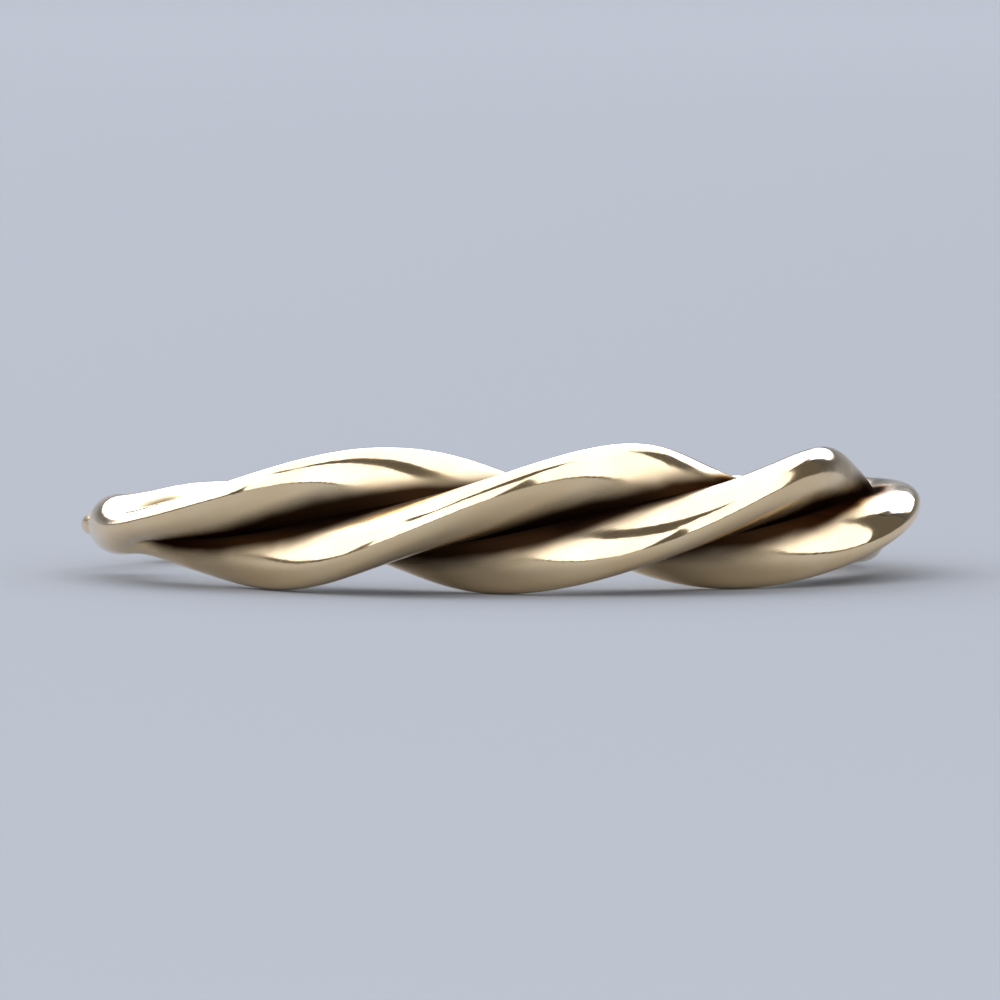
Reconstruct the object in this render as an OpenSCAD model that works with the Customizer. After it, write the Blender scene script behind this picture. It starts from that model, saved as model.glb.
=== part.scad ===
/* [Hoop] */
// Outer diameter of the hoop, over the crests of its strands
hoop_d = 34.2; // [28:0.2:44]
// Angle round the hoop of its front end, counted from the middle of the front
front_end = -88; // [-95:1:-80]
// Angle round the hoop of its rear end, on the far side of the gap
rear_end = 242; // [225:1:250]

/* [Twist] */
// Length of a strand's oval section, from the middle of the twist outwards
strand_depth = 3.4; // [3:0.05:3.8]
// Width of a strand's oval section
strand_w = 2.2; // [1.8:0.05:2.6]
// Distance from the middle of the twist to the crest of a strand
crest_r = 3; // [2.6:0.05:3.3]
// Angle round the hoop from one crest to the next one along the same side, at full size
crest_step = 41.5; // [36:0.5:50]
// Angle round the hoop of the first crest on the upper side
first_crest = 21; // [10:0.5:35]
// How much the strands still turn at the ends, as a share of their turn at full size
end_twist = 0.35; // [0.25:0.05:1]

/* [Taper] */
// Angle round the hoop from which the twist has its full size
full_from = -22; // [-40:1:0]
// Angle round the hoop up to which the twist has its full size
full_to = 35; // [10:1:60]
// Angle over which the twist thins out towards the rear
rear_run = 100; // [80:1:150]
// Angle over which the turn of the strands slackens towards the rear
slack_run = 130; // [90:1:160]
// Size of the twist at the front end, as a share of its full size
front_size = 0.46; // [0.4:0.02:0.7]
// Size of the twist at the rear, as a share of its full size
rear_size = 0.5; // [0.4:0.02:0.7]

/* [Ends] */
// Diameter of the smooth round ends
plain_d = 2.5; // [2.2:0.1:3]
// Angle of the hoop that each smooth end takes
plain_arc = 9; // [7:1:14]
// Angle over which the strands run out into a smooth end
fade_arc = 17; // [12:1:24]
// Radius of the rounded rim of each end
rim_r = 0.3; // [0.1:0.05:0.35]

/* [Ear wire] */
// Diameter of the ear wire
wire_d = 0.9; // [0.7:0.05:1]
// Distance from the middle of the hoop to the top of the wire's centre line
wire_top = 17.3; // [17:0.1:18.5]
// Length of the ear wire inside each end
wire_seat = 1.4; // [1:0.1:1.5]
// Clearance round the ear wire in its sockets
wire_gap = 0.08; // [0.05:0.01:0.12]
// Distance of a socket's mouth from the middle of the end face, outwards
mouth_up = 0.3; // [0.2:0.05:0.35]

/* [Hidden] */
gold = [0.86, 0.74, 0.5];

// How finely the hoop is divided: points round a section, angle between sections, rings of a rim or socket
strands = 3;
strand_points = 10;
ring_points = strands * strand_points;
ring_step = 3.2;
rim_steps = 3;
bore_steps = 4;

// Points along each half of the ear wire's outer side, which only set the origin
wire_steps = 16;

// Radii, and the half axes and middle of a strand's oval section
hoop_r = hoop_d / 2;
plain_r = plain_d / 2;
bore_r = wire_d / 2 + wire_gap;
bore_depth = wire_seat + 2 * wire_gap;
oval_a = strand_depth / 2;
oval_b = strand_w / 2;
oval_c = crest_r - oval_a;

// The hoop lies on the lowest crests near these angles, looked for this many sections to each side
feet = [-2, 42, 210];
foot_reach = 4;

// Smooth step from 0 to 1
function ease(t) = (1 - cos(180 * max(0, min(1, t)))) / 2;

// Mean of a and b, all a at 0 and all b at 1
function mix(a, b, t) = a + (b - a) * t;

// Size of the twist at an angle round the hoop
function size_at(phi) =
    1 - (1 - front_size) * ease((full_from - phi) / (full_from - front_end))
      - (1 - rear_size) * ease((phi - full_to) / rear_run);

// How far the strands stand out of the smooth ends, from 0 to 1
function lobe_at(phi) =
    ease((phi - front_end - plain_arc) / fade_arc) * ease((rear_end - plain_arc - phi) / fade_arc);

// Angle by which the strands lag behind an even twist, at an angle into a stretch that slackens
function lag(angle, run) =
    let (loss = 1 - end_twist, a = max(0, angle))
    a < loss * run ? a * a / (2 * run) : loss * (a - loss * run / 2);

// Turn of the section about its own middle
function turn_at(phi) =
    90 + 360 / strands / crest_step
    * (phi - first_crest + lag(full_from - phi, full_from - front_end) - lag(phi - full_to, slack_run));

// Reach of the section from its middle, which sets the middle inside the outer circle
function reach_at(phi) = mix(plain_r, crest_r * size_at(phi), lobe_at(phi));
function middle_at(phi) = hoop_r - reach_at(phi);

// Parameter of an oval at which it meets the next one, in the bottom of a groove
slope = tan(180 / strands);
groove_at = atan2(slope * oval_a, oval_b) + asin(slope * oval_c / norm([oval_b, slope * oval_a]));

// One strand's outline as distance and angle from the middle of the twist
function oval_point(u) = [oval_c + oval_a * cos(u), oval_b * sin(u)];
function polar(p) = [norm(p), atan2(p.y, p.x)];
strand_outline = [
    for (j = [0 : strand_points - 1])
        polar(oval_point(mix(-groove_at, groove_at, j / strand_points)))
];
outline = [
    for (k = [0 : strands - 1], p = strand_outline)
        [p[0], p[1] + 360 / strands * k]
];

// Directions at an angle round the hoop: outwards, and onwards along the hoop
function outwards(phi) = [sin(phi), -cos(phi), 0];
function onwards(phi) = [cos(phi), sin(phi), 0];
up = [0, 0, 1];

// Circle of a radius round a centre, with its points where the outline has them
function circle_points(centre, out_dir, r, turn) =
    [for (p = outline) centre + r * (out_dir * cos(p[1] + turn) + up * sin(p[1] + turn))];

// Section of the twist at an angle round the hoop
function section_points(phi) =
    let (size = size_at(phi), lobe = lobe_at(phi), turn = turn_at(phi), out_dir = outwards(phi))
    [
        for (p = outline)
            let (r = mix(plain_r, p[0] * size, lobe))
            out_dir * (middle_at(phi) + r * cos(p[1] + turn)) + up * r * sin(p[1] + turn)
    ];

// The ear wire is part of a circle whose middle lies towards the gap in the hoop
gap_mid = (front_end + rear_end - 360) / 2;
gap_half = (front_end - rear_end + 360) / 2;
end_middle = hoop_r - plain_r;
mouth_out = (end_middle + mouth_up) * cos(gap_half) + rim_r * sin(gap_half);
mouth_side = (end_middle + mouth_up) * sin(gap_half) - rim_r * cos(gap_half);
wire_rise = wire_top - mouth_out;
wire_bend_r = (mouth_side * mouth_side + wire_rise * wire_rise) / (2 * wire_rise);
wire_centre = wire_top - wire_bend_r;
mouth_angle = asin(mouth_side / wire_bend_r);
seat_angle = wire_seat / wire_bend_r * 180 / PI;
bore_angle = bore_depth / wire_bend_r * 180 / PI;

// End of the hoop: side is 1 at the front end and -1 at the rear end
function end_phi(side) = side > 0 ? front_end : rear_end;
function end_out(side) = -side * onwards(end_phi(side));
function end_centre(side) = outwards(end_phi(side)) * end_middle;

// Ring of the rounded rim, from 0 at the tube to 1 at the flat end face
function rim_ring(side, t) =
    circle_points(
        end_centre(side) + end_out(side) * rim_r * sin(90 * t),
        outwards(end_phi(side)),
        plain_r - rim_r * (1 - cos(90 * t)),
        turn_at(end_phi(side))
    );

// Ring of a socket at an angle beyond its mouth
function bore_dir(side, extra) =
    let (b = side * (mouth_angle + extra))
    outwards(gap_mid) * cos(b) + onwards(gap_mid) * sin(b);
function bore_ring(side, extra) =
    circle_points(
        outwards(gap_mid) * wire_centre + bore_dir(side, extra) * wire_bend_r,
        bore_dir(side, extra),
        bore_r,
        turn_at(end_phi(side))
    );

// Mouth of a socket, with its points slid along the wire onto the flat end face
function mouth_ring(side) =
    let (
        face = end_centre(side) + end_out(side) * rim_r,
        axis = cross(up, bore_dir(side, 0))
    )
    [
        for (p = bore_ring(side, 0))
            p + axis * ((face - p) * end_out(side)) / (axis * end_out(side))
    ];

// All rings in order, from the bottom of the front socket to the bottom of the rear one
ring_count = ceil((rear_end - front_end) / ring_step);
function ring_angle(k) = mix(front_end, rear_end, k / ring_count);
rings = [
    for (k = [bore_steps : -1 : 1]) bore_ring(1, bore_angle * k / bore_steps),
    mouth_ring(1),
    for (k = [rim_steps : -1 : 1]) rim_ring(1, k / rim_steps),
    for (k = [0 : ring_count]) section_points(ring_angle(k)),
    for (k = [1 : rim_steps]) rim_ring(-1, k / rim_steps),
    mouth_ring(-1),
    for (k = [1 : bore_steps]) bore_ring(-1, bore_angle * k / bore_steps)
];

// The hoop leans until three of its crests are level, and rests on its lowest point
function foot(phi) =
    let (
        k = round(ring_count * (phi - front_end) / (rear_end - front_end)),
        near = [for (j = [k - foot_reach : k + foot_reach]) each section_points(ring_angle(j))],
        heights = [for (p = near) p.z]
    )
    near[search(min(heights), heights)[0]];
foot_normal = cross(foot(feet[1]) - foot(feet[0]), foot(feet[2]) - foot(feet[0]));
level = foot_normal / norm(foot_normal);
lean = acos(level.z);
lean_axis = cross(level, up) / norm(cross(level, up));
function leaned(p) =
    p * cos(lean) + cross(lean_axis, p) * sin(lean) + lean_axis * (lean_axis * p) * (1 - cos(lean));
leaned_points = [for (ring = rings, p = ring) leaned(p)];

// The origin is under the middle of the whole earring, the outer side of the ear wire included
wire_side = [
    for (k = [-wire_steps : wire_steps])
        leaned(
            outwards(gap_mid) * wire_centre
            + bore_dir(1, mouth_angle * (k / wire_steps - 1)) * (wire_bend_r + wire_d / 2)
        )
];
low = [for (axis = [0 : 2]) min([for (p = concat(leaned_points, wire_side)) p[axis]])];
high = [for (axis = [0 : 2]) max([for (p = concat(leaned_points, wire_side)) p[axis]])];
base = [(low.x + high.x) / 2, (low.y + high.y) / 2, low.z];

// Faces between neighbouring rings, and the bottoms of the two sockets
function side_faces(j) = [
    for (i = [0 : ring_points - 1])
        let (
            a = j * ring_points + i,
            b = j * ring_points + (i + 1) % ring_points,
            c = b + ring_points,
            d = a + ring_points
        )
        each [[a, b, d], [b, c, d]]
];
hoop_faces = [
    [for (i = [ring_points - 1 : -1 : 0]) i],
    for (j = [0 : len(rings) - 2]) each side_faces(j),
    [for (i = [0 : ring_points - 1]) (len(rings) - 1) * ring_points + i]
];

// Three strands twisted together and bent into a hoop, soldered into one piece
module twisted_hoop()
    color(gold)
    polyhedron([for (p = leaned_points) p - base], hoop_faces, convexity = 10);

// Plain arched wire that bridges the gap, its two ends inside the ends of the hoop
module ear_wire()
    color(gold)
    translate(-base)
    rotate(lean, lean_axis)
    translate(outwards(gap_mid) * wire_centre)
    rotate(gap_mid - 90 - mouth_angle - seat_angle)
    rotate_extrude(angle = 2 * (mouth_angle + seat_angle), $fn = 180)
    translate([wire_bend_r, 0])
    circle(d = wire_d, $fn = 32);

twisted_hoop();
ear_wire();
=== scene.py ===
# %% [markdown]
# # A twisted hoop earring
#
# Three strands of gold-plated metal are twisted together and bent into a hoop, thick at the front and
# thin at the rear. A plain arched wire bridges the gap between the two ends.
#
# The metal pieces already exist as a measured model. Here they get the looks of the real thing: a smooth
# hoop in place of the faceted one, round wire, polished gold, and a small studio. Everything stays at its
# real size and place, in metres, with Z up.

# %% Load the measured model
import math

import bmesh
import bpy
import numpy as np
from mathutils import Matrix, Vector
from mathutils.bvhtree import BVHTree


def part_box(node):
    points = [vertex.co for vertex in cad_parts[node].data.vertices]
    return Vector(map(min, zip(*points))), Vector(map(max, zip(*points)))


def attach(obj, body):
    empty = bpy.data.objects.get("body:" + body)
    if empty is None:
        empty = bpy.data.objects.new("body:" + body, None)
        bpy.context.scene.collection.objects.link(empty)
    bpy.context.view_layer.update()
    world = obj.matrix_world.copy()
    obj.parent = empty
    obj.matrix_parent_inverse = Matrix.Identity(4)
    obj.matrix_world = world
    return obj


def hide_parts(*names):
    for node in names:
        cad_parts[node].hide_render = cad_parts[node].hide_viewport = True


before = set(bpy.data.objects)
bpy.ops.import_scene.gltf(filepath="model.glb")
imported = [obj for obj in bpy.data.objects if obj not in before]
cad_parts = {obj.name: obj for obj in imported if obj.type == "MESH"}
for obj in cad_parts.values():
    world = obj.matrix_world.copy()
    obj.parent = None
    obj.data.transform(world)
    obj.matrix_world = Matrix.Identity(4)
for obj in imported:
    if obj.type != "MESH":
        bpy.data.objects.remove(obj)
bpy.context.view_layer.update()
print("measured pieces:", sorted(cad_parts))

# %% [markdown]
# The hoop is described the way a goldsmith would: how big it is, how thick the twist is in front and
# behind, and how fast its strands turn. Angles run round the hoop from the middle of its front. A few
# short rules give the twist at any angle, so the numbers are written once and every later step asks them.

# %% The rules of the hoop
MM = 0.001
HOOP_R = 17.1 * MM  # outer radius, which the crests of the strands touch
FRONT_END, REAR_END = -88.0, 242.0  # degrees round the hoop
CREST_R = 3.0 * MM  # from the middle of the twist to a crest, at full size
FULL_FROM, FULL_TO = -22.0, 35.0  # the twist has its full size between these
REAR_RUN = 100.0  # it thins out over this angle towards the rear
FRONT_SIZE, REAR_SIZE = 0.46, 0.5  # what is left of its size at the ends
PLAIN_R = 1.25 * MM  # the smooth round ends
PLAIN_ARC, FADE_ARC = 9.0, 17.0  # their length, and the angle over which the strands run out
STRANDS = 3
CREST_STEP = 41.5  # degrees of hoop from one crest to the next along the same side
FIRST_CREST = 21.0  # where a crest lies on top
UPWARDS = 90.0  # degrees from outwards, round the section
END_TWIST = 0.35  # share of the strands' turn that is left at the ends
SLACK_RUN = 130.0  # the turn slackens over this angle towards the rear


def ease(share):
    """A smooth step from 0 to 1."""
    return (1 - np.cos(np.pi * np.clip(share, 0, 1))) / 2


def size_at(at):
    """Size of the twist, as a share of its full size."""
    front = ease((FULL_FROM - at) / (FULL_FROM - FRONT_END))
    rear = ease((at - FULL_TO) / REAR_RUN)
    return 1 - (1 - FRONT_SIZE) * front - (1 - REAR_SIZE) * rear


def relief_at(at):
    """How far the strands stand out of the smooth ends, from 0 to 1."""
    return ease((at - FRONT_END - PLAIN_ARC) / FADE_ARC) * ease((REAR_END - PLAIN_ARC - at) / FADE_ARC)


def lag(angle, run):
    """Degrees by which slackening strands fall behind an even twist."""
    loss, angle = 1 - END_TWIST, np.maximum(angle, 0)
    return np.where(angle < loss * run, angle**2 / (2 * run), loss * (angle - loss * run / 2))


def turn_at(at):
    """Degrees that the section is turned about its own middle."""
    slack = lag(FULL_FROM - at, FULL_FROM - FRONT_END) - lag(at - FULL_TO, SLACK_RUN)
    return UPWARDS + 360 / STRANDS / CREST_STEP * (at - FIRST_CREST + slack)


def reach_at(at):
    """Distance of the crests from the middle of the twist."""
    relief = relief_at(at)
    return PLAIN_R * (1 - relief) + CREST_R * size_at(at) * relief


print("turns of the strands:", round(float(turn_at(REAR_END) - turn_at(FRONT_END)) / 360, 2))
print("twist in front and at the rear, mm:", [round(2000 * float(reach_at(at)), 2) for at in (0, 150)])

# %% [markdown]
# A twisted hoop could be a curve with a bevel, but then its strands couldn't swell and slacken as they do
# here. A goldsmith twists a straight bar first and bends it afterwards, and so does this notebook. It
# starts with the bar's section: one strand is an oval, cut where it meets its neighbours and copied twice.
#
# A subdivision surface will round the bar off later. It shrinks a round outline a little, by a factor that
# depends only on the angle between two points, so the oval is drawn larger by the same factor.

# %% Draw the section of the bar
OVAL_POINTS = 15
OVAL_DEPTH, OVAL_WIDTH = 3.4 * MM, 2.2 * MM
SMOOTHING_SHRINK = (2 + math.cos(math.tau / OVAL_POINTS)) / 3
NEAR = 0.01 * MM  # points closer than this are one point


def middle_of_bar(at):
    """Middle of the twist in the straight bar: crests lie along y = 0, and x is the arc along the hoop."""
    return Vector((HOOP_R * math.radians(at), float(reach_at(at)), 0))


def start_editing(kind="FACE"):
    """Goes into edit mode to pick faces, edges or points, with nothing selected."""
    bpy.ops.object.mode_set(mode="EDIT")
    bpy.ops.mesh.select_mode(type=kind)
    bpy.ops.mesh.select_all(action="DESELECT")


def select(find):
    """Selects the faces or edges that find picks out of the mesh in edit mode, and nothing else."""
    bpy.ops.mesh.select_all(action="DESELECT")
    mesh = bmesh.from_edit_mesh(bpy.context.object.data)
    mesh.edges.ensure_lookup_table()
    for element in find(mesh):
        element.select_set(True)
    bmesh.update_edit_mesh(bpy.context.object.data)


def turn(degrees, axis, middle):
    """Turns what is selected, right-handed. With no window the operator turns the other way."""
    bpy.ops.transform.rotate(value=-math.radians(degrees), orient_axis=axis, center_override=middle)


bpy.ops.object.select_all(action="DESELECT")
bpy.ops.mesh.primitive_circle_add(
    vertices=OVAL_POINTS,
    radius=OVAL_WIDTH / 2 / SMOOTHING_SHRINK,
    location=(0, 0, 0),
    rotation=(math.pi, math.pi / 2, 0),
)
bar = bpy.context.object
bar.name = "hoop"
bpy.ops.object.transform_apply(location=False, rotation=True, scale=False)
start_editing("VERT")
bpy.ops.mesh.select_all(action="SELECT")
bpy.ops.transform.resize(value=(1, OVAL_DEPTH / OVAL_WIDTH, 1), center_override=(0, 0, 0))
bpy.ops.transform.translate(value=(0, OVAL_DEPTH / 2 - CREST_R, 0))
half = math.pi / STRANDS
for side in (1, -1):
    bpy.ops.mesh.select_all(action="SELECT")
    bpy.ops.mesh.bisect(
        plane_co=(0, 0, 0), plane_no=(0, math.sin(half), side * math.cos(half)), clear_outer=True
    )
bpy.ops.mesh.select_all(action="SELECT")
for strand in range(1, STRANDS):
    bpy.ops.mesh.duplicate()
    turn(360 / STRANDS, "X", (0, 0, 0))
bpy.ops.mesh.select_all(action="SELECT")
bpy.ops.mesh.remove_doubles(threshold=NEAR)
bpy.ops.mesh.edge_face_add()
bpy.ops.object.mode_set(mode="OBJECT")
section = [vertex.co.copy() for vertex in bar.data.vertices]
SECTION_POINTS = len(section)
MEAN_R = sum(co.length for co in section) / SECTION_POINTS
GROOVE_R = min(co.length for co in section)
print("section:", SECTION_POINTS, "points, its grooves", round(1000 * GROOVE_R, 2), "mm from the middle")

# %% [markdown]
# The bar grows out of that section in both directions. Each step extrudes the end face, turns it, scales
# it, and near the ends presses it towards a circle with To Sphere, which pulls every point towards the
# mean distance from the middle. Done by hand this is E, R, S and Alt-Shift-S, some hundred times over.

# %% Extrude the twisted bar
STEP = 3.2  # degrees of hoop from one section to the next
TINY = 1e-5  # lobes smaller than this are gone


def roundness(at):
    """Scale of the section, and how much of its lobes is left, so that its crests reach as the rule says."""
    relief = float(relief_at(at))
    lobes = float(size_at(at)) * relief
    scale = PLAIN_R * (1 - relief) / MEAN_R + lobes
    return scale, lobes / scale


def extrude_to(at, before):
    """Extrudes the selected end face from one angle of the hoop to another."""
    middle = middle_of_bar(at)
    bpy.ops.mesh.extrude_region_move(TRANSFORM_OT_translate={"value": middle - middle_of_bar(before)})
    turn(-float(turn_at(at) - turn_at(before)), "X", middle)
    (scale, lobes), (scale_before, lobes_before) = roundness(at), roundness(before)
    bpy.ops.transform.resize(value=[scale / scale_before] * 3, center_override=middle)
    bpy.ops.transform.tosphere(value=1 - lobes / max(lobes_before, TINY), center_override=middle)


start_editing()
bpy.ops.mesh.select_all(action="SELECT")
bpy.ops.transform.translate(value=middle_of_bar(0))
turn(-float(turn_at(0)), "X", middle_of_bar(0))
for end in (REAR_END, FRONT_END):
    steps = math.ceil(abs(end) / STEP)
    for k in range(steps):
        extrude_to(end * (k + 1) / steps, end * k / steps)
    select(lambda mesh: [min(mesh.faces, key=lambda face: face.calc_center_median().x)])
bpy.ops.object.mode_set(mode="OBJECT")
print("bar:", len(bar.data.polygons), "faces,", round(1000 * bar.dimensions.x, 1), "mm long")

# %% [markdown]
# The two ends are smooth and round, with a small rounded rim and a socket for the ear wire. The rim is the
# end face extruded three more times round a quarter circle. The wire enters at a slant, so the mouth of
# its socket is an oval set off the middle, with a narrow chamfer from the drill.

# %% Shape the two ends
RIM_R, RIM_STEPS = 0.3 * MM, 3
WIRE_R, WIRE_SEAT, WIRE_GAP = 0.45 * MM, 1.4 * MM, 0.08 * MM
WIRE_TOP = 17.3 * MM  # from the middle of the hoop to the top of the wire's centre line
MOUTH_UP = 0.3 * MM  # from the middle of the end face to the middle of the socket, outwards
CHAMFER = 0.02 * MM
BORE_R = WIRE_R + WIRE_GAP

gap_middle = (FRONT_END + REAR_END - 360) / 2
gap_half = math.radians(FRONT_END - REAR_END + 360) / 2
end_middle = HOOP_R - PLAIN_R
mouth_out = (end_middle + MOUTH_UP) * math.cos(gap_half) + RIM_R * math.sin(gap_half)
mouth_side = (end_middle + MOUTH_UP) * math.sin(gap_half) - RIM_R * math.cos(gap_half)
wire_rise = WIRE_TOP - mouth_out
wire_bend_r = (mouth_side**2 + wire_rise**2) / (2 * wire_rise)
mouth_angle = math.asin(mouth_side / wire_bend_r)
slant = mouth_angle - gap_half


def narrow(radius_from, radius_to, middle, move=(0, 0, 0)):
    """Extrudes the selected face by a small move and scales it."""
    bpy.ops.mesh.extrude_region_move(TRANSFORM_OT_translate={"value": move})
    bpy.ops.transform.resize(value=[radius_to / radius_from] * 3, center_override=middle)


start_editing()
for ahead, end in ((1, REAR_END), (-1, FRONT_END)):
    select(lambda mesh: [max(mesh.faces, key=lambda face: ahead * face.calc_center_median().x)])
    middle, radius = middle_of_bar(end), PLAIN_R
    for k in range(1, RIM_STEPS + 1):
        bend, bend_before = (math.pi / 2 * j / RIM_STEPS for j in (k, k - 1))
        move = Vector((ahead * RIM_R * (math.sin(bend) - math.sin(bend_before)), 0, 0))
        middle, smaller = middle + move, PLAIN_R - RIM_R * (1 - math.cos(bend))
        narrow(radius, smaller, middle, move)
        radius = smaller
    narrow(radius, BORE_R + CHAMFER, middle)
    bpy.ops.transform.translate(value=(0, -MOUTH_UP, 0))
    middle = middle - Vector((0, MOUTH_UP, 0))
    bpy.ops.transform.resize(value=(1, 1 / math.cos(slant), 1), center_override=middle)
    narrow(BORE_R + CHAMFER, BORE_R, middle, (-ahead * CHAMFER, 0, 0))
bpy.ops.object.mode_set(mode="OBJECT")
print("ear wire: bend radius, mm:", round(1000 * wire_bend_r, 2))
print("ear wire: slant to the ends, degrees:", round(math.degrees(slant), 1))

# %% [markdown]
# Now the straight bar is bent into the hoop. Simple Deform bends along X so that the line y = 0, where the
# crests lie, becomes the outer circle. The length of the bar over its outer radius is the angle.

# %% Bend the bar into a hoop
bend = bar.modifiers.new("bend", "SIMPLE_DEFORM")
bend.deform_method = "BEND"
bend.deform_axis = "Z"
bend.angle = bar.dimensions.x / HOOP_R
bpy.ops.object.modifier_apply(modifier="bend")
start_editing()
bpy.ops.mesh.select_all(action="SELECT")
bpy.ops.transform.translate(value=(0, -HOOP_R, 0))
bpy.ops.object.mode_set(mode="OBJECT")
print("hoop:", [round(1000 * side, 2) for side in bar.dimensions], "mm")

# %% [markdown]
# The sockets follow the bend of the ear wire, so the mouth faces are extruded in small steps, each turned
# about the middle of the wire's own circle. That middle lies towards the gap in the hoop.

# %% Drill the two sockets
SOCKET_STEPS = 4


def round_the_hoop(at):
    """Direction from the middle of the hoop, at an angle round it."""
    return Vector((math.sin(math.radians(at)), -math.cos(math.radians(at)), 0))


wire_centre = round_the_hoop(gap_middle) * (WIRE_TOP - wire_bend_r)
socket_angle = math.degrees((WIRE_SEAT + 2 * WIRE_GAP) / wire_bend_r)
start_editing()
for side in (1, -1):
    mouth = wire_centre + round_the_hoop(gap_middle + side * math.degrees(mouth_angle)) * wire_bend_r
    select(lambda mesh: [min(mesh.faces, key=lambda face: (face.calc_center_median() - mouth).length)])
    for k in range(SOCKET_STEPS):
        bpy.ops.mesh.extrude_region_move()
        turn(side * socket_angle / SOCKET_STEPS, "Z", wire_centre)
bpy.ops.object.mode_set(mode="OBJECT")
print("sockets:", round(socket_angle, 1), "degrees of the wire's circle deep")

# %% [markdown]
# A Subdivision Surface makes the coarse hoop smooth, but it would also fill in the grooves, where two
# strands meet in a sharp valley. A creased edge stays sharp. The groove edges are found by their place:
# they run along the hoop at 60 degrees from a crest. Towards the smooth ends the crease fades out, so the
# grooves melt into the round metal as they do after polishing.

# %% Crease the grooves and smooth the hoop
SMOOTHING = 2  # levels of the subdivision surface
GROOVE_TOLERANCE = 2.0  # degrees round the twist
CREASE_STEPS = 10  # from no crease to a fully sharp one
SHARP_ANGLE = 35.0  # degrees between two faces that meet in an edge, not in a smooth curve


def place_on_twist(points):
    """Angle round the hoop, distance from the middle of the twist, and angle from a crest."""
    x, y, z = np.asarray(points, dtype=float).reshape(-1, 3).T
    at = np.degrees(np.arctan2(x, -y))
    at = np.where(at < gap_middle, at + 360, at)
    outwards = np.hypot(x, y) - (HOOP_R - reach_at(at))
    return at, np.hypot(outwards, z), np.degrees(np.arctan2(z, outwards)) - turn_at(at)


def off_groove(around):
    """Degrees from the nearest groove."""
    lobe = 360 / STRANDS
    return np.abs((around % lobe) - lobe / 2)


def groove_sharpness(mesh):
    """Steps of sharpness, by the number of a groove edge, from how far the strands stand out there."""
    at, _, around = place_on_twist([vertex.co for vertex in mesh.vertices])
    in_groove = off_groove(around) < GROOVE_TOLERANCE
    ends = {edge.index: list(edge.vertices) for edge in mesh.edges if all(in_groove[list(edge.vertices)])}
    return {edge: round(CREASE_STEPS * float(relief_at(at[pair].mean()))) for edge, pair in ends.items()}


sharpness = groove_sharpness(bar.data)
start_editing("EDGE")
for step in range(1, CREASE_STEPS + 1):
    select(lambda mesh: [mesh.edges[edge] for edge in sharpness if sharpness[edge] == step])
    bpy.ops.transform.edge_crease(value=step / CREASE_STEPS)
print("groove edges:", len(sharpness), "of them fully sharp:", list(sharpness.values()).count(CREASE_STEPS))
bpy.ops.mesh.select_all(action="SELECT")
bpy.ops.mesh.normals_make_consistent(inside=False)
bpy.ops.object.mode_set(mode="OBJECT")

smooth = bar.modifiers.new("smooth", "SUBSURF")
smooth.levels = smooth.render_levels = SMOOTHING
bpy.ops.object.modifier_apply(modifier="smooth")
bpy.ops.object.shade_smooth_by_angle(angle=math.radians(SHARP_ANGLE))
hoop = bar
print("smooth hoop:", 2 * len(hoop.data.polygons), "triangles")

# %% [markdown]
# The ear wire is drawn wire, bent round a former. A circle is placed where its seat begins and spun about
# the middle of its bend. Its two ends sit inside the sockets, so they need only a cap.

# %% Spin the ear wire
WIRE_POINTS, WIRE_STEPS = 32, 96

seat_angle = WIRE_SEAT / wire_bend_r
wire_start = gap_middle - math.degrees(mouth_angle + seat_angle)
bpy.ops.object.select_all(action="DESELECT")
bpy.ops.mesh.primitive_circle_add(
    vertices=WIRE_POINTS,
    radius=WIRE_R,
    fill_type="NGON",
    location=wire_centre + round_the_hoop(wire_start) * wire_bend_r,
    rotation=(math.pi / 2, 0, math.radians(wire_start) - math.pi / 2),
)
wire = bpy.context.object
wire.name = "arched_wire"
bpy.ops.object.transform_apply(location=True, rotation=True, scale=False)
start_editing()
bpy.ops.mesh.select_all(action="SELECT")
bpy.ops.mesh.spin(
    steps=WIRE_STEPS, angle=-2 * (mouth_angle + seat_angle), center=wire_centre, axis=(0, 0, 1)
)
bpy.ops.mesh.select_all(action="SELECT")
bpy.ops.mesh.remove_doubles(threshold=NEAR)
bpy.ops.mesh.normals_make_consistent(inside=False)
bpy.ops.object.mode_set(mode="OBJECT")
bpy.ops.object.shade_smooth_by_angle(angle=math.radians(SHARP_ANGLE))
print("ear wire:", 2 * len(wire.data.polygons), "triangles")

# %% [markdown]
# Polishing marks and drawing lines follow the metal, so each piece remembers where its surface would lie on
# the straight bar or the straight wire. That is stored as an attribute with three lengths: two across and
# one along. A second one says how deep a point lies in a groove, for the film and painted shade there.

# %% Remember the lie of the metal


def remember(piece, name, values):
    """Stores a number or a vector for each point of a piece."""
    kind, field = ("FLOAT_VECTOR", "vector") if values.ndim == 2 else ("FLOAT", "value")
    attribute = piece.data.attributes.new(name, kind, "POINT")
    attribute.data.foreach_set(field, values.astype(np.float32).ravel())


def points_of(piece):
    """The points of a piece as rows of numbers."""
    return np.array([vertex.co for vertex in piece.data.vertices])


def straightened(distance, around, along):
    """Two lengths across the bar and one along it."""
    around = np.radians(around)
    return np.column_stack([distance * np.cos(around), distance * np.sin(around), along])


hoop_at, distance, around = place_on_twist(points_of(hoop))
remember(hoop, "lay", straightened(distance, around, HOOP_R * np.radians(hoop_at)))
relief, crest_r = relief_at(hoop_at), CREST_R * size_at(hoop_at)
depth = (crest_r - distance) / (crest_r * (1 - GROOVE_R / CREST_R))
remember(hoop, "groove", relief * np.clip(depth, 0, 1))

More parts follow.
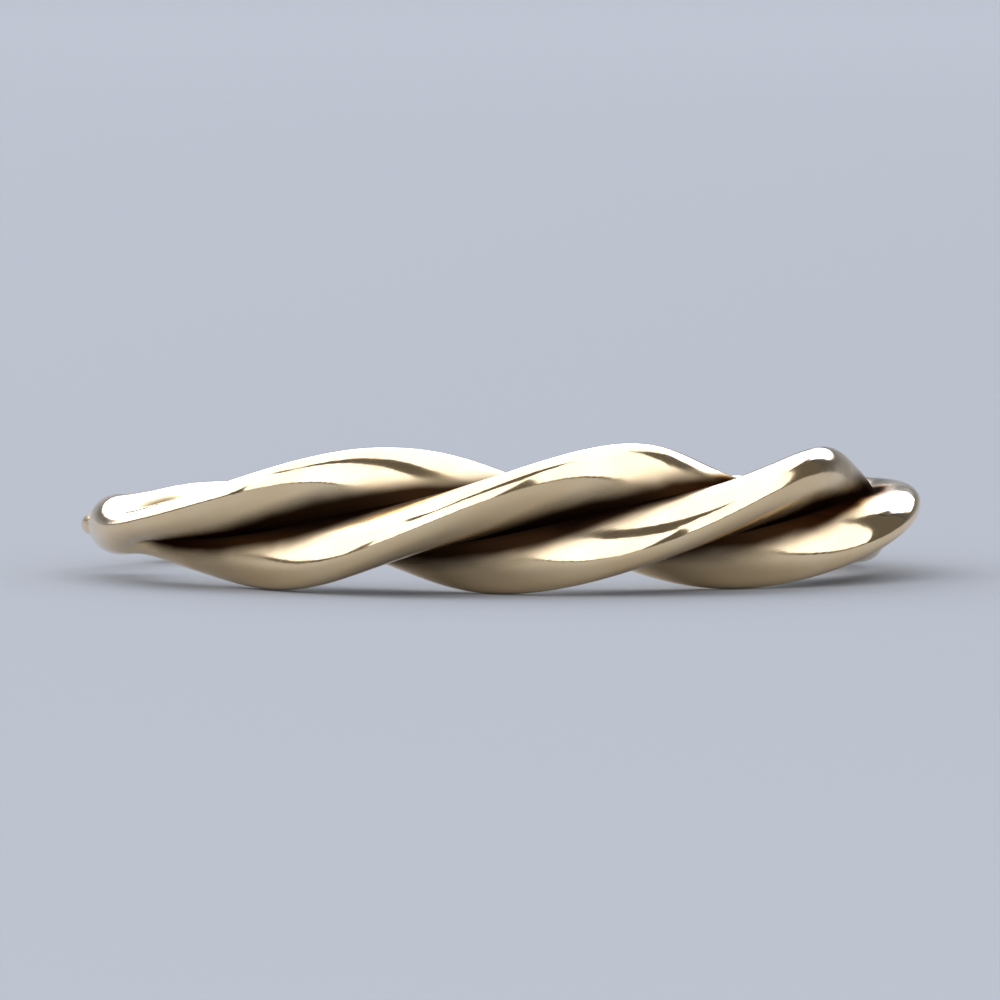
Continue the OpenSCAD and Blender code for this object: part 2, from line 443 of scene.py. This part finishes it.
from_centre = points_of(wire) - np.array(wire_centre)
wire_at = np.degrees(np.arctan2(from_centre[:, 0], -from_centre[:, 1])) % 360 - gap_middle - 360
outwards = np.hypot(from_centre[:, 0], from_centre[:, 1]) - wire_bend_r
wire_around = np.degrees(np.arctan2(from_centre[:, 2], outwards))
remember(wire, "lay", straightened(WIRE_R, wire_around, wire_bend_r * np.radians(wire_at)))
print("deepest groove:", round(float((relief * depth).max()), 2), "of the way from crest to bottom")
print("ear wire runs from", round(float(wire_at.min())), "to", round(float(wire_at.max())), "degrees")

# %% [markdown]
# A plain hoop that is put down lies on its side. This one touches the table with three crests, so it leans
# a little. The lowest point near each of them is looked up, and the plane through the three is turned
# level. Then both pieces are set down where the measured model lies.

# %% Lay the earring down
FEET, FOOT_REACH = (-2.0, 42.0, 210.0), 12.7  # degrees round the hoop


def foot(at):
    """The lowest point of the hoop near an angle round it."""
    near = points_of(hoop)[abs(hoop_at - at) < FOOT_REACH]
    return Vector(near[near[:, 2].argmin()])


def set_in_place(piece, place):
    """Moves a piece and puts the move into its mesh, so that its object stays at the origin."""
    bpy.ops.object.select_all(action="DESELECT")
    piece.select_set(True)
    bpy.context.view_layer.objects.active = piece
    piece.matrix_world = place
    bpy.ops.object.transform_apply(location=True, rotation=True, scale=True)


first, second, third = (foot(at) for at in FEET)
plane = (second - first).cross(third - first).normalized()
levelled = plane.rotation_difference(Vector((0, 0, 1))).to_matrix().to_4x4()
for piece in (hoop, wire):
    set_in_place(piece, levelled)
low, high = points_of(wire).min(axis=0), points_of(wire).max(axis=0)
move = sum(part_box("ear_wire"), Vector()) / 2 - Vector((low + high) / 2)
move.z = -points_of(hoop)[:, 2].min()
for piece in (hoop, wire):
    set_in_place(piece, Matrix.Translation(move))
print("the hoop leans by", round(math.degrees(plane.angle(Vector((0, 0, 1)))), 2), "degrees")

for piece, node in ((hoop, "twisted_hoop"), (wire, "ear_wire")):
    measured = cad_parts[node].data
    surface = BVHTree.FromPolygons(
        [vertex.co for vertex in measured.vertices], [face.vertices for face in measured.polygons]
    )
    away = [surface.find_nearest(vertex.co)[3] / MM for vertex in piece.data.vertices]
    print(node, "from the measured one, mm: mean", round(np.mean(away), 3), "most", round(max(away), 3))
    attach(piece, "root")
    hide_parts(node)

# %% [markdown]
# A material is a small network of nodes. One short function adds a node with its settings and links, so
# each material below reads as a list of what it is made of. Colours are written as hex values, which one
# function turns into the linear light that the shader works in. The others add the nodes that come up again
# and again.

# %% Helpers for materials


def linear(colour):
    """A hex colour as linear red, green, blue and alpha."""
    parts = [int(colour[k : k + 2], 16) / 255 for k in (1, 3, 5)]
    return [c / 12.92 if c <= 0.04045 else ((c + 0.055) / 1.055) ** 2.4 for c in parts] + [1.0]


def add(tree, kind, settings=None, **inputs):
    """Adds a node. An input, named or numbered like in3, takes a value or the output of another node."""
    node = tree.nodes.new(kind)
    for name, value in (settings or {}).items():
        setattr(node, name, value)
    for name, value in inputs.items():
        socket = node.inputs[int(name[2:])] if name[2:].isdigit() else node.inputs[name.replace("_", " ")]
        if isinstance(value, bpy.types.NodeSocket):
            tree.links.new(value, socket)
        else:
            socket.default_value = value
    return node


def mix(tree, share, first, second):
    """The first colour at share 0, the second at share 1, and their mixtures between."""
    node = add(tree, "ShaderNodeMix", {"data_type": "RGBA"}, in0=share, in6=first, in7=second)
    return node.outputs[2]


def noise(tree, place, size, detail):
    """Cloudy noise with blots of a size."""
    return add(tree, "ShaderNodeTexNoise", Vector=place, Scale=1 / size, Detail=detail).outputs["Fac"]


def lengthened(tree, place, times):
    """A place at which a pattern comes out so many times longer than wide."""
    return add(tree, "ShaderNodeMapping", Vector=place, Scale=(1, 1, 1 / times)).outputs["Vector"]


def ranged(tree, value, limits, results, interpolation="LINEAR"):
    """Brings a value from one range into another."""
    node = add(
        tree,
        "ShaderNodeMapRange",
        {"interpolation_type": interpolation},
        Value=value,
        From_Min=limits[0],
        From_Max=limits[1],
        To_Min=results[0],
        To_Max=results[1],
    )
    return node.outputs[0]


def new_material(name):
    """A material with nothing in it yet, and its nodes."""
    material = bpy.data.materials.new(name)
    material.use_nodes = True
    material.node_tree.nodes.clear()
    return material, material.node_tree


# %% [markdown]
# The hoop is brass with a plating of pale yellow gold, polished on a cloth wheel. Polished metal has hardly
# a colour of its own: it mirrors the room, tinted yellow. What makes it look real is small. The wheel
# leaves soft waves a millimetre wide, which bend every reflection, and hairlines that follow the strands.
# Handling leaves smudges, a little deeper in colour and duller. Where the cloth can't reach, deep in the
# grooves, a dull brown film stays. It is painted wider and darker than the residue alone, as painted shade
# along the flanks beside the grooves, and a noise drawn out along the strands lets its edge wander. The film
# also takes away the bright sheen that bare metal has at a glancing angle, so its tint there is brown too.

# %% Polished gold plating
GOLD = "#FCE6C0"
DEEP_GOLD = "#F1CE98"
# dark brown of the groove film: polishing residue in the groove bottoms, and painted shade on the flanks
# beside them
GROOVE_FILM_AND_SHADE = "#2A190C"
BARE_EDGE, FILM_AND_SHADE_EDGE = "#FFFFFF", "#5E4330"  # tints of what is mirrored at a glancing angle
WAVE, HAIRLINE, SMUDGE = 1.3 * MM, 0.05 * MM, 2.5 * MM  # sizes of the marks, the hairlines drawn coarse
WAVE_HEIGHT, HAIRLINE_DEPTH = 0.02 * MM, 0.001 * MM
HAIRLINE_LENGTH, FILM_AND_SHADE_LENGTH = 40, 3  # how many times longer than wide
FILM_AND_SHADE_WANDER = 0.55  # share of the noise that is added to the depth in a groove
FILM_AND_SHADE_FROM, FILM_AND_SHADE_FULL = 0.69, 1.15  # of that sum: where the film and its painted shade begin, and where they are full
SMUDGE_RANGE = (0.3, 0.75)  # of the noise, from clean metal to a smudge
POLISH = (0.05, 0.17)  # roughness of clean metal and of a smudge
FILM_ROUGHNESS = 0.35  # what the film adds

gold, tree = new_material("polished_gold_plating")
lay = add(tree, "ShaderNodeAttribute", {"attribute_name": "lay"}).outputs["Vector"]
groove = add(tree, "ShaderNodeAttribute", {"attribute_name": "groove"}).outputs["Fac"]
smudge = noise(tree, lay, size=SMUDGE, detail=3.0)
wander = noise(tree, lengthened(tree, lay, FILM_AND_SHADE_LENGTH), size=SMUDGE, detail=3.0)
hairlines = noise(tree, lengthened(tree, lay, HAIRLINE_LENGTH), size=HAIRLINE, detail=2.0)
wave = noise(tree, lay, size=WAVE, detail=1.0)
uneven = add(
    tree, "ShaderNodeMath", {"operation": "MULTIPLY_ADD"}, in0=wander, in1=FILM_AND_SHADE_WANDER, in2=groove
).outputs[0]
# where the groove film lies, widened past the real residue as painted shade
film_and_shade = ranged(tree, uneven, (FILM_AND_SHADE_FROM, FILM_AND_SHADE_FULL), (0.0, 1.0), "SMOOTHSTEP")
metal = mix(tree, smudge, linear(GOLD), linear(DEEP_GOLD))
# paints the groove film and its painted shade into the colour
colour = mix(tree, film_and_shade, metal, linear(GROOVE_FILM_AND_SHADE))
edge = mix(tree, film_and_shade, linear(BARE_EDGE), linear(FILM_AND_SHADE_EDGE))
polish = ranged(tree, smudge, SMUDGE_RANGE, POLISH)
roughness = add(
    tree, "ShaderNodeMath", {"operation": "MULTIPLY_ADD"}, in0=film_and_shade, in1=FILM_ROUGHNESS, in2=polish
).outputs[0]
waves = add(tree, "ShaderNodeBump", Height=wave, Distance=WAVE_HEIGHT, Strength=1.0).outputs[0]
marks = add(tree, "ShaderNodeBump", Height=hairlines, Distance=HAIRLINE_DEPTH, Normal=waves).outputs[0]
shader = add(
    tree,
    "ShaderNodeBsdfPrincipled",
    Base_Color=colour,
    Metallic=1.0,
    Roughness=roughness,
    Specular_Tint=edge,
    Normal=marks,
)
add(tree, "ShaderNodeOutputMaterial", Surface=shader.outputs[0])
hoop.data.materials.append(gold)
print("gold:", len(tree.nodes), "nodes")

# %% [markdown]
# The ear wire is drawn through a plate, so its marks run along it from end to end, and it is polished less
# than the hoop.

# %% Drawn gold wire
DRAWN_GOLD = "#F3D49C"
DRAW_LINE, DRAW_LINE_DEPTH = 0.04 * MM, 0.0015 * MM
DRAW_LINE_LENGTH = 100  # how many times longer than wide
LINE_RANGE = (0.3, 0.7)  # of the noise, from a ridge to a line
DRAWN_POLISH = (0.12, 0.24)  # roughness of a ridge and of a line

drawn, tree = new_material("drawn_gold_wire")
lay = add(tree, "ShaderNodeAttribute", {"attribute_name": "lay"}).outputs["Vector"]
lines = noise(tree, lengthened(tree, lay, DRAW_LINE_LENGTH), size=DRAW_LINE, detail=2.0)
smudge = noise(tree, lay, size=SMUDGE, detail=3.0)
colour = mix(tree, smudge, linear(DRAWN_GOLD), linear(DEEP_GOLD))
roughness = ranged(tree, lines, LINE_RANGE, DRAWN_POLISH)
marks = add(tree, "ShaderNodeBump", Height=lines, Distance=DRAW_LINE_DEPTH).outputs[0]
shader = add(
    tree, "ShaderNodeBsdfPrincipled", Base_Color=colour, Metallic=1.0, Roughness=roughness, Normal=marks
)
add(tree, "ShaderNodeOutputMaterial", Surface=shader.outputs[0])
wire.data.materials.append(drawn)
print("wire:", len(tree.nodes), "nodes")

# %% [markdown]
# The studio is a sheet of pale paper that lies flat under the earring and curves up behind it, so no edge
# shows. A plane is extruded up at its back edge, and the corner is bevelled into a wide curve.

# %% Lay out the paper
PAPER = 2.4  # metres across
PAPER_HEIGHT, PAPER_CURVE = 1.2, 0.25
CURVE_STEPS = 24
PAPER_GREY = "#929393"
FIBRE, TOOTH = 0.4 * MM, 0.01 * MM  # size of the paper's grain, and its height
TOOTH_STRENGTH = 0.3
MATT = 0.9  # roughness

bpy.ops.object.select_all(action="DESELECT")
bpy.ops.mesh.primitive_plane_add(size=PAPER, location=(0, 0, 0))
paper = bpy.context.object
paper.name = "paper"
start_editing("EDGE")


def middle_y(edge):
    """Distance of an edge's middle towards the back."""
    return (edge.verts[0].co.y + edge.verts[1].co.y) / 2


select(lambda mesh: [max(mesh.edges, key=middle_y)])
bpy.ops.mesh.extrude_region_move(TRANSFORM_OT_translate={"value": (0, 0, PAPER_HEIGHT)})
select(
    lambda mesh: [
        edge for edge in mesh.edges if middle_y(edge) > PAPER / 2 - NEAR and len(edge.link_faces) == 2
    ]
)
bpy.ops.mesh.bevel(offset=PAPER_CURVE, segments=CURVE_STEPS, affect="EDGES")
bpy.ops.object.mode_set(mode="OBJECT")
bpy.ops.object.shade_smooth()

matt, tree = new_material("matt_paper")
where = add(tree, "ShaderNodeTexCoord").outputs["Object"]
fibre = noise(tree, where, size=FIBRE, detail=4.0)
tooth = add(tree, "ShaderNodeBump", Height=fibre, Distance=TOOTH, Strength=TOOTH_STRENGTH).outputs[0]
shader = add(
    tree,
    "ShaderNodeBsdfPrincipled",
    Base_Color=linear(PAPER_GREY),
    Roughness=MATT,
    Specular_IOR_Level=0.0,
    Normal=tooth,
)
add(tree, "ShaderNodeOutputMaterial", Surface=shader.outputs[0])
paper.data.materials.append(matt)
print("paper:", len(paper.data.polygons), "faces")

# %% [markdown]
# Polished metal shows the room more than itself, so the lamps are placed for their reflections. A large
# soft box hangs overhead and three smaller ones stand low round the earring: they whiten the upper flanks of
# the strands. A long low one stands behind the hoop. It draws the thin bright rim along the top and throws
# the shadow forwards, so the undersides mirror darker paper and turn brown. The room itself is nearly dark.
#
# What the metal mirrors is how bright a lamp's sheet looks, and not its power, so the brightness is given
# and the power follows from the area. The sheets are as cool as daylight, which keeps the gold's highlights
# from turning yellow and leaves its shadows warm. Blender's standard view keeps the sparkle: the paper
# comes out pale, and whatever mirrors a lamp comes out white, as in a photograph.

# %% Set up the lamps
AIM = Vector((0, 0, 3 * MM))  # the middle of the earring
DAYLIGHT = "#E9EFFF"
ROOM, ROOM_BRIGHTNESS = "#FFFDF8", 0.12


def soft_box(name, around, up, away, size, brightness):
    """A lamp with a bright sheet that faces the earring, so many degrees round the hoop and up."""
    lamp = bpy.data.lights.new(name, "AREA")
    lamp.shape, lamp.size, lamp.size_y = "RECTANGLE", size[0], size[1]
    lamp.color = linear(DAYLIGHT)[:3]
    lamp.energy = brightness * math.pi * size[0] * size[1]
    holder = bpy.data.objects.new(name, lamp)
    bpy.context.scene.collection.objects.link(holder)
    height = math.radians(up)
    towards = round_the_hoop(around) * math.cos(height) + Vector((0, 0, math.sin(height)))
    holder.location = AIM + towards * away
    holder.rotation_euler = (-towards).to_track_quat("-Z", "Y").to_euler()
    print(name, "watts:", round(lamp.energy, 1))


soft_box("box_overhead", around=-170, up=73, away=1.05, size=(1.80, 1.50), brightness=2.1)
soft_box("box_behind", around=180, up=26, away=1.15, size=(1.60, 0.46), brightness=4.6)
soft_box("box_right", around=70, up=30, away=0.50, size=(0.70, 0.50), brightness=2.0)
soft_box("box_left", around=-22, up=26, away=0.50, size=(0.80, 0.44), brightness=2.1)
soft_box("box_far_left", around=-106, up=28, away=0.50, size=(0.80, 0.42), brightness=2.1)

world = bpy.data.worlds.new("dark_room")
world.use_nodes = True
background = world.node_tree.nodes["Background"]
background.inputs["Color"].default_value = linear(ROOM)
background.inputs["Strength"].default_value = ROOM_BRIGHTNESS
bpy.context.scene.world = world
bpy.context.scene.view_settings.view_transform = "Standard"

# %% [markdown]
# The camera looks at the hoop edge-on, as the photograph does, with a long lens from a little above the
# table.

# %% Set up the camera
CAMERA_HEIGHT = 3.2  # degrees above the table, where the hoop is seen edge-on
CAMERA_AWAY = 0.7
VIEW_WIDTH = 41 * MM  # across the picture at the earring
SENSOR = 36.0  # millimetres across
NEAREST, FARTHEST = 0.01, 10.0  # what the camera sees lies between these

camera = bpy.data.objects.new("camera", bpy.data.cameras.new("camera"))
bpy.context.scene.collection.objects.link(camera)
bpy.context.scene.camera = camera
height = math.radians(CAMERA_HEIGHT)
back = Vector((0, -math.cos(height), math.sin(height)))
camera.location = AIM + back * CAMERA_AWAY
camera.rotation_euler = (-back).to_track_quat("-Z", "Y").to_euler()
camera.data.sensor_width = SENSOR
camera.data.lens = SENSOR * CAMERA_AWAY / VIEW_WIDTH
camera.data.clip_start, camera.data.clip_end = NEAREST, FARTHEST
print("camera lens, mm:", round(camera.data.lens))
